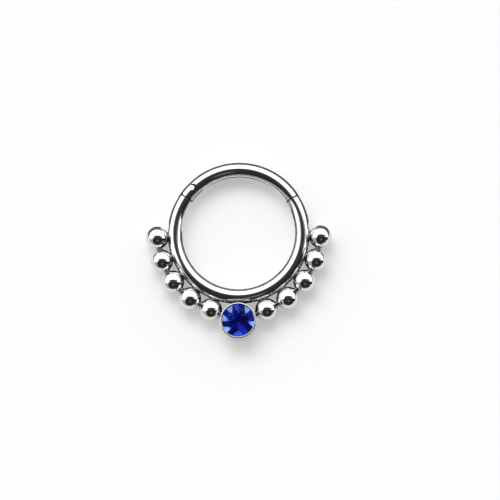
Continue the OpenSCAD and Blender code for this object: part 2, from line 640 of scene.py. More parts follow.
def wire_tube(name, start, end, radius, rounding=0.0):
    """A stretch of round wire between two angles, its end edges rounded."""
    ring_radius = mm(settings().ring.ring_radius)
    length = (end - start) * ring_radius
    plain = length - 2 * rounding
    steps = max(2, round(plain / WIRE_SPACING))
    quarter = [(k + 1) / EDGE_STEPS * math.pi / 2 for k in range(EDGE_STEPS)] if rounding else []
    edge = [(rounding * (1 - math.sin(t)), radius - rounding * (1 - math.cos(t))) for t in quarter]
    rings = list(reversed(edge))
    rings += [(rounding + plain * k / steps, radius) for k in range(steps + 1)]
    rings += [(length - reach, r) for reach, r in edge]
    points = []
    for reach, r in rings:
        angle = start + reach / ring_radius
        for b in round_angles(WIRE_SIDES):
            points.append(round_ring(angle, ring_radius + r * math.cos(b), r * math.sin(b)))
    last = len(points) - WIRE_SIDES
    faces = [list(range(WIRE_SIDES))]
    for first in range(0, last, WIRE_SIDES):
        faces += band(first, first + WIRE_SIDES, WIRE_SIDES)
    faces.append([last + k for k in range(WIRE_SIDES)])
    return solid(name, points, faces)


def prism(name, outline, place, thickness):
    """A flat plate from an outline in a frame's own plane, as thick on either side of it."""
    points = [place @ Vector((x, y, side * thickness / 2)) for side in (-1, 1) for x, y in outline]
    return solid(name, points, prism_faces(len(outline)))


def arc_points(centre, radius, start, end, count):
    """Points along an arc in a plane."""
    angles = [start + (end - start) * k / (count - 1) for k in range(count)]
    return [(centre[0] + radius * math.cos(a), centre[1] + radius * math.sin(a)) for a in angles]


def rod(name, start, end, radius, sides=32):
    """A round bar from one point to another."""
    start, end = Vector(start), Vector(end)
    turn = (end - start).to_track_quat("Z", "Y")
    points = []
    for middle in (start, end):
        for b in round_angles(sides):
            points.append(middle + turn @ Vector((radius * math.cos(b), radius * math.sin(b), 0)))
    return solid(name, points, prism_faces(sides))


def pin_drill(name, radius, sides):
    """What drilling for the hinge pin takes away."""
    through = np.array([0, 0, THROUGH])
    return rod(name, PIN_PLACE - through, PIN_PLACE + through, radius, sides)


def lathe(name, profile, centre):
    """A profile of radius and height turned about an upright axis; it starts and ends on it."""
    sides = LATHE_SIDES
    inner = profile[1:-1]
    points = [(centre[0], centre[1], profile[0][1])]
    for r, z in inner:
        for b in round_angles(sides):
            points.append((centre[0] + r * math.cos(b), centre[1] + r * math.sin(b), z))
    points.append((centre[0], centre[1], profile[-1][1]))
    top = len(points) - 1
    faces = []
    for k in range(sides):
        after = (k + 1) % sides
        faces.append([0, 1 + after, 1 + k])
        for i in range(len(inner) - 1):
            low, high = 1 + i * sides, 1 + (i + 1) * sides
            faces.append([low + k, low + after, high + after, high + k])
        last = 1 + (len(inner) - 1) * sides
        faces.append([last + k, last + after, top])
    return solid(name, points, faces)


def ball(name, centre, radius, turn):
    """A finely divided ball."""
    mesh = bpy.data.meshes.new(name)
    work = bmesh.new()
    place = Matrix.Translation(Vector(centre)) @ Matrix.Rotation(turn, 4, Vector(BALL_AXIS))
    bmesh.ops.create_icosphere(work, subdivisions=BALL_DIVISIONS, radius=radius, matrix=place)
    work.to_mesh(mesh)
    work.free()
    return new_object(name, mesh)


# Distance fields: how far a point is from each polished surface


def field_wire(points):
    """Distance from the round wire of the whole ring."""
    ring = settings().ring
    p = points - ring_centre()
    off = np.hypot(p[:, 0], p[:, 1]) - mm(ring.ring_radius)
    return np.hypot(off, p[:, 2]) - mm(ring.wire_radius)


def field_ball(centre, radius):
    """Distance from a ball."""
    return lambda points: np.linalg.norm(points - centre, axis=1) - radius


def field_rod(start, end, radius):
    """Distance from a rod with round ends."""
    along = end - start

    def distance(points):
        """The distance at each point."""
        share = np.clip((points - start) @ along / (along @ along), 0, 1)
        return np.linalg.norm(points - start - share[:, None] * along, axis=1) - radius

    return distance


def field_post(centre, radius):
    """Distance from the side of an upright post."""
    return lambda points: np.hypot(points[:, 0] - centre[0], points[:, 1] - centre[1]) - radius


def blend_fields(fields, flow):
    """The fields' union, rounded out by flow where two of them meet."""

    def distance(points):
        """The distance at each point."""
        total = fields[0](points)
        for field in fields[1:]:
            other = field(points)
            share = np.maximum(flow - np.abs(total - other), 0) / flow
            total = np.minimum(total, other) - share * share * flow / 4
        return total

    return distance


def slope(field, points):
    """Gradient of a field, which is the surface's own normal on it."""
    parts = []
    for axis in SLOPE_STEP * np.eye(3):
        parts.append((field(points + axis) - field(points - axis)) / (2 * SLOPE_STEP))
    return np.stack(parts, axis=1)


def vertex_array(mesh):
    """A mesh's points as an array."""
    flat = np.empty(3 * len(mesh.vertices))
    mesh.vertices.foreach_get("co", flat)
    return flat.reshape(-1, 3)


def pull_to(field, points, rounds=4):
    """Moves points onto a field's surface."""
    for _ in range(rounds):
        away = field(points)
        normal = slope(field, points)
        points = points - normal * (away / np.maximum((normal**2).sum(axis=1), 1e-9))[:, None]
    return points


def flow_solder(target, sharp_field, soft_field, allowed):
    """Gives the crease round each solder neck a smooth hollow, with finer faces there."""
    work = bmesh.new()
    work.from_mesh(target.data)
    bmesh.ops.triangulate(work, faces=work.faces)
    bmesh.ops.dissolve_degenerate(work, dist=SLIVER, edges=work.edges)
    for longest in CREASE_EDGES:
        points = np.array([v.co for v in work.verts])
        near = (sharp_field(points) - soft_field(points) > CREASE_TO_HALVE) & allowed(points)
        work.verts.ensure_lookup_table()
        long_edges = []
        for edge in work.edges:
            a, b = edge.verts
            if (near[a.index] or near[b.index]) and edge.calc_length() > longest:
                long_edges.append(edge)
        bmesh.ops.subdivide_edges(work, edges=long_edges, cuts=1)
        bmesh.ops.triangulate(work, faces=work.faces)
        work.verts.index_update()
    points = np.array([v.co for v in work.verts])
    zone = (sharp_field(points) - soft_field(points) > CREASE_TO_PULL) & allowed(points)
    picked = np.flatnonzero(zone)
    pairs = np.array([[e.verts[0].index, e.verts[1].index] for e in work.edges])
    points[picked] = pull_to(soft_field, points[picked])
    for _ in range(EVENING_ROUNDS):
        total = np.zeros_like(points)
        count = np.zeros(len(points))
        np.add.at(total, pairs[:, 0], points[pairs[:, 1]])
        np.add.at(total, pairs[:, 1], points[pairs[:, 0]])
        np.add.at(count, pairs.ravel(), 1)
        even = total[picked] / count[picked, None]
        points[picked] = pull_to(soft_field, 0.5 * points[picked] + 0.5 * even, rounds=2)
    for vertex, place in zip(work.verts, points):
        vertex.co = place
    work.to_mesh(target.data)
    work.free()


def polish(target, field=None):
    """Smooth shading, with the field's exact normals where the surface lies on it."""
    mesh = target.data
    mesh.polygons.foreach_set("use_smooth", np.ones(len(mesh.polygons), bool))
    mesh.set_sharp_from_angle(angle=SHARP_ANGLE)
    if field is None:
        return
    points = vertex_array(mesh)
    on_it = np.abs(field(points)) < ON_SURFACE
    exact = np.zeros_like(points)
    exact[on_it] = slope(field, points[on_it])
    exact[on_it] /= np.linalg.norm(exact[on_it], axis=1)[:, None]
    corners = np.empty(len(mesh.loops), int)
    mesh.loops.foreach_get("vertex_index", corners)
    face_normals = np.empty(3 * len(mesh.polygons))
    mesh.polygon_normals.foreach_get("vector", face_normals)
    sizes = np.empty(len(mesh.polygons), int)
    mesh.polygons.foreach_get("loop_total", sizes)
    face_normals = np.repeat(face_normals.reshape(-1, 3), sizes, axis=0)
    normals = exact[corners]
    normals[(normals * face_normals).sum(axis=1) < SAME_WAY] = 0
    mesh.normals_split_custom_set(normals.tolist())


def mark_saw_cuts(target, field, from_y, upward_depth=0.0):
    """Gives the faces inside the polished surface the second material, but not shallow tops."""
    mesh = target.data
    middles = np.empty(3 * len(mesh.polygons))
    mesh.polygons.foreach_get("center", middles)
    middles = middles.reshape(-1, 3)
    normals = np.empty(3 * len(mesh.polygons))
    mesh.polygons.foreach_get("normal", normals)
    shallow = (normals.reshape(-1, 3)[:, 2] > SAME_WAY) & (field(middles) > -upward_depth)
    shallow &= middles[:, 2] > ring_centre()[2] + GROUND_FACES_FROM
    inside = (field(middles) < -CUT_DEPTH) & (middles[:, 1] > from_y) & ~shallow
    mesh.polygons.foreach_set("material_index", inside.astype(np.int32))


def dress(target, *materials):
    """Gives a piece its materials; its faces all start with the first one."""
    target.data.materials.clear()
    for material in materials:
        target.data.materials.append(material)


def settle(target, body, slot, *nodes):
    """Scales a finished piece to metres and hands it to the frame."""
    target.data.transform(TO_METRES)
    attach(target, body)
    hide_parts(*nodes)


# Node helpers


# The colour sockets of a mix node: its two inputs and its result.
COLOUR_A = 6
COLOUR_B = 7
COLOUR_RESULT = 2


def group_of(name, inputs, outputs):
    """A shader node group with its sockets, its tree, and its two end nodes."""
    tree = bpy.data.node_groups.new(name, "ShaderNodeTree")
    for label, kind, value in inputs:
        socket = tree.interface.new_socket(name=label, in_out="INPUT", socket_type=kind)
        if value is not None:
            socket.default_value = value
    for label, kind in outputs:
        tree.interface.new_socket(name=label, in_out="OUTPUT", socket_type=kind)
    return tree, tree.nodes.new("NodeGroupInput"), tree.nodes.new("NodeGroupOutput")


def node(tree, kind, **values):
    """A node with some of its settings given."""
    made = tree.nodes.new(kind)
    for key, value in values.items():
        setattr(made, key, value)
    return made


def feed(tree, socket, value):
    """Links a socket into another one, or sets a plain value there."""
    if isinstance(value, bpy.types.NodeSocket):
        tree.links.new(value, socket)
    else:
        socket.default_value = value


def math_node(tree, operation, *values, clamp=False):
    """A math node's result."""
    made = node(tree, "ShaderNodeMath", operation=operation, use_clamp=clamp)
    for socket, value in zip(made.inputs, values):
        feed(tree, socket, value)
    return made.outputs[0]


def mix_colour(tree, share, first, second):
    """A blend of two colours."""
    made = node(tree, "ShaderNodeMix", data_type="RGBA")
    feed(tree, made.inputs["Factor"], share)
    feed(tree, made.inputs[COLOUR_A], first)
    feed(tree, made.inputs[COLOUR_B], second)
    return made.outputs[COLOUR_RESULT]


def smooth_range(tree, value, low, high, to_low=0.0, to_high=1.0):
    """A value eased from one range into another."""
    made = node(tree, "ShaderNodeMapRange", interpolation_type="SMOOTHSTEP")
    for socket, part in zip(made.inputs, (value, low, high, to_low, to_high)):
        feed(tree, socket, part)
    return made.outputs[0]


def right_angle_length(tree, first, second):
    """The length of two values taken at right angles."""
    squares = math_node(tree, "MULTIPLY_ADD", first, first, math_node(tree, "MULTIPLY", second, second))
    return math_node(tree, "SQRT", squares)


def stretched(tree, place, factors):
    """A place with each of its parts scaled on its own."""
    made = node(tree, "ShaderNodeVectorMath", operation="MULTIPLY")
    tree.links.new(place, made.inputs[0])
    made.inputs[1].default_value = factors
    return made.outputs[0]


def noise(tree, place, scale, detail=2.0, roughness=0.5):
    """A noise texture's value at a place."""
    made = node(tree, "ShaderNodeTexNoise")
    tree.links.new(place, made.inputs["Vector"])
    made.inputs["Scale"].default_value = scale
    made.inputs["Detail"].default_value = detail
    made.inputs["Roughness"].default_value = roughness
    return made.outputs["Fac"]


def bumped(tree, shader, height, distance):
    """Feeds a height into a shader's normal, at a distance in millimetres."""
    bump = node(tree, "ShaderNodeBump")
    bump.inputs["Distance"].default_value = distance * MM
    tree.links.new(height, bump.inputs["Height"])
    tree.links.new(bump.outputs[0], shader.inputs["Normal"])


def rgba(colour):
    """A colour with full alpha."""
    return (*colour, 1.0)


def scaled_colour(colour, share):
    """A colour made brighter or darker by a factor."""
    return tuple(share * part for part in colour)


def new_material(name, colour=None):
    """A material with its node tree and its shader."""
    made = bpy.data.materials.new(name)
    made.use_nodes = True
    if colour is not None:
        made.diffuse_color = rgba(colour)
    return made, made.node_tree, made.node_tree.nodes["Principled BSDF"]


# Finishes


def wire_coordinates():
    """Group: a place on the ring as arc length, distance out and height, in millimetres."""
    name = "wire coordinates"
    if name in bpy.data.node_groups:
        return bpy.data.node_groups[name]
    tree, _, out = group_of(name, [], [("Along", "NodeSocketVector"), ("Place", "NodeSocketVector")])
    where = node(tree, "ShaderNodeTexCoord").outputs["Object"]
    to_mm = node(tree, "ShaderNodeVectorMath", operation="SCALE")
    tree.links.new(where, to_mm.inputs[0])
    to_mm.inputs["Scale"].default_value = 1 / MM
    local = node(tree, "ShaderNodeVectorMath", operation="SUBTRACT")
    tree.links.new(to_mm.outputs[0], local.inputs[0])
    local.inputs[1].default_value = tuple(ring_centre())
    parts = node(tree, "ShaderNodeSeparateXYZ")
    tree.links.new(local.outputs[0], parts.inputs[0])
    x, y, z = parts.outputs
    angle = math_node(tree, "ARCTAN2", x, y)
    arc = math_node(tree, "MULTIPLY", angle, mm(settings().ring.ring_radius))
    reach = right_angle_length(tree, x, y)
    joined = node(tree, "ShaderNodeCombineXYZ")
    for socket, part in zip(joined.inputs, (arc, reach, z)):
        tree.links.new(part, socket)
    tree.links.new(joined.outputs[0], out.inputs["Along"])
    tree.links.new(local.outputs[0], out.inputs["Place"])
    return tree


def polishing_marks():
    """Group: buffing waves, hairline scratches and haze, from a place in millimetres."""
    name = "polishing marks"
    if name in bpy.data.node_groups:
        return bpy.data.node_groups[name]
    tree, given, out = group_of(
        name,
        [
            ("Place", "NodeSocketVector", None),
            ("Stretched", "NodeSocketVector", None),
            ("Waves", "NodeSocketFloat", 1.0),
            ("Hairlines", "NodeSocketFloat", 1.0),
            ("Haze", "NodeSocketFloat", 1.0),
            ("Roughness", "NodeSocketFloat", 0.04),
        ],
        [("Height", "NodeSocketFloat"), ("Roughness", "NodeSocketFloat"), ("Dulling", "NodeSocketFloat")],
    )
    place = given.outputs["Place"]
    waves = noise(tree, place, scale=0.9, detail=1.5)
    ripple = noise(tree, place, scale=4.5)
    along = stretched(tree, given.outputs["Stretched"], HAIRLINE_STRETCH)
    lines = noise(tree, along, scale=2.4, detail=3.0, roughness=0.7)
    fine_lines = smooth_range(tree, lines, low=0.56, high=0.74)
    across = noise(tree, stretched(tree, place, SCUFF_STRETCH), scale=2.0)
    scuffs = smooth_range(tree, across, low=0.66, high=0.76)
    clouds = noise(tree, place, scale=1.7, detail=4.0, roughness=0.6)
    haze = smooth_range(tree, clouds, low=0.42, high=0.78)

    swell = math_node(tree, "MULTIPLY_ADD", ripple, RIPPLE_SHARE, waves)
    wave_height = math_node(tree, "MULTIPLY", swell, given.outputs["Waves"])
    cuts = math_node(tree, "MULTIPLY_ADD", scuffs, SCUFF_SHARE, fine_lines)
    depth = math_node(tree, "MULTIPLY", cuts, MARK_DEPTH)
    cut_depth = math_node(tree, "MULTIPLY", depth, given.outputs["Hairlines"])
    tree.links.new(math_node(tree, "SUBTRACT", wave_height, cut_depth), out.inputs["Height"])
    hazed = math_node(tree, "MULTIPLY", haze, given.outputs["Haze"])
    deepest = math_node(tree, "MAXIMUM", fine_lines, scuffs)
    marks = math_node(tree, "MULTIPLY", deepest, given.outputs["Hairlines"])
    rough = math_node(tree, "MULTIPLY_ADD", hazed, HAZE_ROUGHNESS, given.outputs["Roughness"])
    rough = math_node(tree, "MULTIPLY_ADD", marks, MARK_ROUGHNESS, rough)
    tree.links.new(rough, out.inputs["Roughness"])
    dulling = math_node(tree, "MULTIPLY", hazed, HAZE_DULLING, clamp=True)
    tree.links.new(dulling, out.inputs["Dulling"])
    return tree


def metal(name, colour, roughness, waves=1.0, hairlines=1.0, haze=1.0, solder=False):
    """Polished steel with buffing marks, and the solder colour where a mesh is marked with it: heated
    solder with painted shade at the necks, painted shade in crevices and on the cup's side.
    """
    made, tree, shader = new_material(name, colour)
    shader.inputs["Metallic"].default_value = 1.0
    where = node(tree, "ShaderNodeGroup", node_tree=wire_coordinates())
    marks = node(tree, "ShaderNodeGroup", node_tree=polishing_marks())
    tree.links.new(where.outputs["Place"], marks.inputs["Place"])
    tree.links.new(where.outputs["Along"], marks.inputs["Stretched"])
    amounts = {"Waves": waves, "Hairlines": hairlines, "Haze": haze, "Roughness": roughness}
    for label, value in amounts.items():
        marks.inputs[label].default_value = value
    dulled = rgba(scaled_colour(colour, DULLED_SHARE))
    base = mix_colour(tree, marks.outputs["Dulling"], rgba(colour), dulled)
    rough = marks.outputs["Roughness"]
    if solder:
        # Painted shade: the mark darkens the steel to the solder colour at necks, in crevices and on the
        # cup's side.
        solder_shade_mark = node(tree, "ShaderNodeAttribute", attribute_name="solder").outputs["Fac"]
        base = mix_colour(tree, solder_shade_mark, base, rgba(settings().finish.solder_and_shade_colour))
        rough = math_node(tree, "MULTIPLY_ADD", solder_shade_mark, SOLDER_ROUGHNESS, rough)
    tree.links.new(base, shader.inputs["Base Color"])
    tree.links.new(rough, shader.inputs["Roughness"])
    bumped(tree, shader, marks.outputs["Height"], BUFFING_HEIGHT)
    return made


def facet_variation():
    """Group: a stone colour, a little deeper in places, that can fade to painted shade in the middle."""
    name = "facet variation"
    if name in bpy.data.node_groups:
        return bpy.data.node_groups[name]
    tree, given, out = group_of(
        name,
        [
            ("Colour", "NodeSocketColor", None),
            ("Deep", "NodeSocketColor", None),
            ("Middle", "NodeSocketColor", None),
            ("Fade", "NodeSocketFloat", 0.0),
        ],
        [("Colour", "NodeSocketColor")],
    )
    where = node(tree, "ShaderNodeTexCoord").outputs["Object"]
    depth = noise(tree, where, scale=900, detail=1)
    mixed = mix_colour(tree, depth, given.outputs["Colour"], given.outputs["Deep"])
    parts = node(tree, "ShaderNodeSeparateXYZ")
    tree.links.new(where, parts.inputs[0])
    # Painted shade: towards the stone's middle the colour fades to the deep colour, as far as Fade says.
    axis = cup_centre() * MM
    across = math_node(tree, "SUBTRACT", parts.outputs[0], axis[0])
    back = math_node(tree, "SUBTRACT", parts.outputs[1], axis[1])
    from_axis = right_angle_length(tree, across, back)
    share = math_node(tree, "DIVIDE", from_axis, GIRDLE_RADIUS * MM)
    inwards = smooth_range(tree, share, *PAINTED_FLASH_FADE, to_low=1.0, to_high=0.0)
    faded = math_node(tree, "MULTIPLY", inwards, given.outputs["Fade"])
    tree.links.new(mix_colour(tree, faded, mixed, given.outputs["Middle"]), out.inputs["Colour"])
    return tree


def facet_colour(tree, colour, deepest, fade=0.0):
    """A colour varied over the stone, for a material's base colour."""
    varied = node(tree, "ShaderNodeGroup", node_tree=facet_variation())
    varied.inputs["Colour"].default_value = rgba(colour)
    varied.inputs["Deep"].default_value = rgba(scaled_colour(colour, deepest))
    varied.inputs["Middle"].default_value = rgba(settings().finish.painted_deep_shade_colour)
    varied.inputs["Fade"].default_value = fade
    return varied.outputs["Colour"]


def stone_glass():
    """Clear royal blue crystal for the crown."""
    colour = settings().finish.stone_colour
    made, tree, shader = new_material("royal blue crystal", colour)
    shader.inputs["Transmission Weight"].default_value = 1.0
    shader.inputs["IOR"].default_value = CRYSTAL_IOR
    shader.inputs["Specular Tint"].default_value = rgba(GLASS_SHINE)
    shader.inputs["Roughness"].default_value = 0.0
    tree.links.new(facet_colour(tree, colour, CRYSTAL_DEPTH), shader.inputs["Base Color"])
    return made


def stone_foil(name, colour, metallic, roughness, painted_glow, fade):
    """A foil on the back of the pavilion, seen through the crystal, its colour at a painted brightness; it
    also glows a little, as painted light.
    """
    made, tree, shader = new_material(name, colour)
    shader.inputs["Metallic"].default_value = metallic
    shader.inputs["Roughness"].default_value = roughness
    varied = facet_colour(tree, colour, FOIL_DEPTH, fade)
    tree.links.new(varied, shader.inputs["Base Color"])
    # Painted light: the foil glows in its own colour, though it is no lamp.
    if painted_glow:
        tree.links.new(varied, shader.inputs["Emission Color"])
        shader.inputs["Emission Strength"].default_value = painted_glow
    return made


def steel():
    """The mirror polished steel of the ring and the segment."""
    finish = settings().finish
    if "polished steel" in bpy.data.materials:
        return bpy.data.materials["polished steel"]
    return metal("polished steel", tuple(finish.steel_colour), finish.steel_roughness)


def sawn_steel():
    """The duller steel inside the joints, with dark polishing paste left along its edges."""
    if "sawn steel" in bpy.data.materials:
        return bpy.data.materials["sawn steel"]
    ring = settings().ring
    colour = tuple(settings().finish.sawn_colour)
    made = metal("sawn steel", colour, roughness=0.34, hairlines=2.0, haze=2.0)
    tree = made.node_tree
    base = tree.nodes["Principled BSDF"].inputs["Base Color"]
    parts = node(tree, "ShaderNodeSeparateXYZ")
    where = next(part for part in tree.nodes if "Along" in part.outputs)
    tree.links.new(where.outputs["Along"], parts.inputs[0])
    _, reach, height = parts.outputs
    off = math_node(tree, "SUBTRACT", reach, mm(ring.ring_radius))
    from_middle = right_angle_length(tree, off, height)
    starts, full = (mm(ring.wire_radius) - depth for depth in PASTE_DEPTHS)
    paste = smooth_range(tree, from_middle, starts, full)
    clean = base.links[0].from_socket
    feed(tree, base, mix_colour(tree, paste, clean, rgba(PASTE_COLOUR)))
    return made


# Pieces


def weld_neck(first, first_radius, second, second_radius, radius):
    """Start, end and radius of a solder neck that runs a little into what it joins."""
    along = (second - first) / np.linalg.norm(second - first)
    start = first + along * (first_radius - NECK_BITE)
    end = second - along * (second_radius - NECK_BITE)
    return start, end, radius


def ball_places():
    """The balls' centres, one list a side."""
    ring, balls = settings().ring, settings().balls
    reach = mm(ring.ring_radius) + mm(ring.wire_radius) - mm(balls.ball_bite) + mm(balls.ball_radius)
    sides = []
    for side in (-1, 1):
        places = []
        for i in range(balls.balls_per_side):
            a = balls.first_angle + i * balls.ball_step
            places.append(ring_centre() + reach * np.array([side * math.cos(a), -math.sin(a), 0]))
        sides.append(places)
    return sides


def cup_centre():
    """The cup's axis at the wire's height: under the stone."""
    return np.array([0, round((STONE_LOW[1] + STONE_HIGH[1]) / 2, 3), ring_centre()[2]])


def cup_profile():
    """The cup's section, from the middle of its base round to the middle of its recess."""
    cup = settings().cup
    r, h, rim = mm(cup.cup_radius), mm(cup.cup_height), mm(cup.rim_width)
    lip = r - rim
    bore, seat = lip + BORE_WIDER, lip - SEAT_NARROWER
    foot, outer, inner = CUP_FOOT, CUP_OUTER_EDGE, CUP_INNER_EDGE
    return [
        (0, 0),
        (r - foot - CUP_BASE_RING, 0),
        *arc_points((r - foot, foot), foot, -math.pi / 2, 0, count=6),
        (r, CUP_WALL_RING),
        (r, h / 2),
        (r, h - CUP_WALL_RING),
        *arc_points((r - outer, h - outer), outer, 0, math.pi / 2, count=9),
        *arc_points((lip + inner, h - inner), inner, math.pi / 2, math.pi, count=6),
        (lip, h - LIP_DEPTH),
        (bore, h - BORE_DEPTH),
        (bore, h - SEAT_DEPTH),
        (seat, h - SEAT_DEPTH),
        (RECESS_RADIUS, RECESS_FLOOR),
        (0, RECESS_FLOOR),
    ]


def hinge_tongue():
    """The flat tongue on the ring's end that the fork closes round, with its hole."""
    ring = settings().ring
    wire = mm(ring.wire_radius)
    angle = pin_angle()
    place = placed(angle, PIN_PLACE, along_wire=True)
    end = wire - PIN_OFFSET - TONGUE_TIP_GAP
    far = WELL_THROUGH
    flat = [(0, far), (-far, far), (-far, -far), (end, -far), (end, 0), (0, 0)]
    outline = prism("tongue outline", flat, place, TONGUE_THICKNESS)
    round_end = arc_points((0, 0), end, 0, 2 * math.pi, count=65)[:-1]
    nose = prism("tongue nose", round_end, place, TONGUE_THICKNESS)
    combine(outline, [nose], "UNION")
    into_wire = ring.hinge_angle + TONGUE_ROOT
    tongue = wire_tube("tongue", angle - PAST_PIN, into_wire, wire - TONGUE_SIDE_GAP)
    combine(tongue, [outline], "INTERSECT")
    return tongue


def pin_angle():
    """The hinge pin's angle round the ring."""
    away = PIN_PLACE - ring_centre()
    return math.atan2(away[1], away[0])


def solder_necks(sides):
    """Every solder neck: each ball to the wire and to the next ball or the cup, and the cup's."""
    ring = settings().ring
    wire, ball_radius = mm(ring.wire_radius), mm(settings().balls.ball_radius)
    cup = (cup_centre(), mm(settings().cup.cup_radius))
    necks = []
    for places in sides:
        nexts = [*[(place, ball_radius) for place in places[1:]], cup]
        for place, (beyond, beyond_radius) in zip(places, nexts):
            out = place - ring_centre()
            on_wire = ring_centre() + out / np.linalg.norm(out) * mm(ring.ring_radius)
            necks.append(weld_neck(place, ball_radius, on_wire, wire, BALL_NECK))
            necks.append(weld_neck(place, ball_radius, beyond, beyond_radius, BALL_NECK))
    lowest = round_ring(1.5 * math.pi)
    necks.append(weld_neck(lowest, wire, *cup, CUP_NECK))
    return necks


def near_solder(points):
    """Which points lie where solder can flow: near the wire's level, and not far up the ring."""
    centre = ring_centre()
    level = np.abs(points[:, 2] - centre[2]) < SOLDER_LEVEL
    return level & (points[:, 1] < centre[1] + SOLDER_UP_TO)


def mark_solder_and_painted_shade(hoop, cup_field, fields, neck_fields):
    """Marks how much solder colour shows: heated solder with painted shade at necks, painted shade in
    crevices and on the cup's side.
    """
    points = vertex_array(hoop.data)
    near_neck = np.min([field(points) for field in neck_fields], axis=0)
    # Painted shade: darker where a second surface lies near, as in a crease.
    crevice = np.sort([field(points) for field in fields], axis=0)[1]
    solder_and_shade_share = np.maximum(1 - near_neck / NECK_SOLDER_AND_SHADE_REACH, 1 - crevice / CREVICE_SHADE_REACH)
    # Painted shade on the cup's side, near the wire and under the rim.
    cup_shade = 1 - np.maximum(field_wire(points) / CUP_SHADE_FROM_WIRE, cup_field(points) / CUP_SHADE_FROM_WALL)
    under_rim = np.clip((mm(settings().cup.cup_height) - points[:, 2]) / CUP_SHADE_RIM_FADE, 0, 1)
    solder_and_shade_share = np.maximum(solder_and_shade_share, cup_shade * under_rim)
    solder_shade_mark = hoop.data.attributes.new("solder", "FLOAT", "POINT")
    solder_shade_mark.data.foreach_set("value", np.clip(solder_and_shade_share, 0, 1).astype(np.float32) ** SOLDER_AND_SHADE_FALL)


def build_hoop():
    """The ring with its balls, solder necks and cup as one piece."""
    ring, balls = settings().ring, settings().balls
    ball_radius = mm(balls.ball_radius)
    hoop = wire_tube(
        "ring_with_balls",
        ring.hinge_angle,
        2 * math.pi + ring.latch_angle,
        mm(ring.wire_radius),
        rounding=mm(ring.end_rounding),
    )
    slot = prism(
        "latch slot",
        [(-THROUGH, -LATCH_DEPTH), (THROUGH, -LATCH_DEPTH), (THROUGH, THROUGH), (-THROUGH, THROUGH)],
        placed(ring.latch_angle, round_ring(ring.latch_angle)),
        LATCH_SLOT_THICKNESS,
    )
    combine(hoop, [slot], "DIFFERENCE")

    sides = ball_places()
    places = [place for side in sides for place in side]
    necks = solder_necks(sides)
    parts = [ball(f"ball {i}", place, ball_radius, BALL_TURN * i) for i, place in enumerate(places)]
    parts += [rod(f"neck {i}", *neck) for i, neck in enumerate(necks)]
    parts.append(lathe("cup", cup_profile(), cup_centre()))
    combine(hoop, parts, "UNION")
    combine(hoop, [hinge_tongue()], "UNION")
    combine(hoop, [pin_drill("tongue hole", TONGUE_HOLE_RADIUS, sides=48)], "DIFFERENCE")

    cup_field = field_post(cup_centre(), mm(settings().cup.cup_radius))
    fields = [field_wire, cup_field, *[field_ball(place, ball_radius) for place in places]]
    neck_fields = [field_rod(*neck) for neck in necks]
    sharp_field = blend_fields(fields + neck_fields, NO_FLOW)
    soft_field = blend_fields(fields + neck_fields, mm(balls.solder_flow))
    flow_solder(hoop, sharp_field, soft_field, near_solder)
    polish(hoop, soft_field)
    finish = settings().finish
    colour, roughness = tuple(finish.steel_colour), finish.steel_roughness
    # The first material carries the solder colour with painted shade, the second the saw cuts.
    dress(hoop, metal("soldered steel", colour, roughness, solder=True), sawn_steel())
    mark_saw_cuts(hoop, field_wire, ring_centre()[1] + CUTS_ABOVE)
    mark_solder_and_painted_shade(hoop, cup_field, fields, neck_fields)
    settle(hoop, "ring", "polished_steel", "hoop")


def spot_level(place):
    """Height of the ground spot's plane over the ring's own level."""
    wire = mm(settings().ring.wire_radius)
    off = np.linalg.norm(place - ring_centre()[:2]) - mm(settings().ring.ring_radius)
    return wire - SPOT_DEPTH - SPOT_SLOPE * off


def spot_tool():
    """What the grinding of the spot over the pin takes away."""
    middle = placed(pin_angle(), PIN_PLACE, along_wire=True) @ Vector((SPOT_ALONG, SPOT_OUT, 0))
    twice, thrice = SPOT_STRAY
    points = []
    for top in (False, True):
        for b in round_angles(SPOT_SIDES):
            reach = SPOT_RADIUS * (1 + twice * math.cos(2 * b + 1) + thrice * math.cos(3 * b))
            place = np.array([middle.x + reach * math.cos(b), middle.y + reach * math.sin(b)])
            height = SPOT_TOOL_TOP if top else spot_level(place)
            points.append((*place, ring_centre()[2] + height))
    return solid("ground spot", points, prism_faces(SPOT_SIDES))


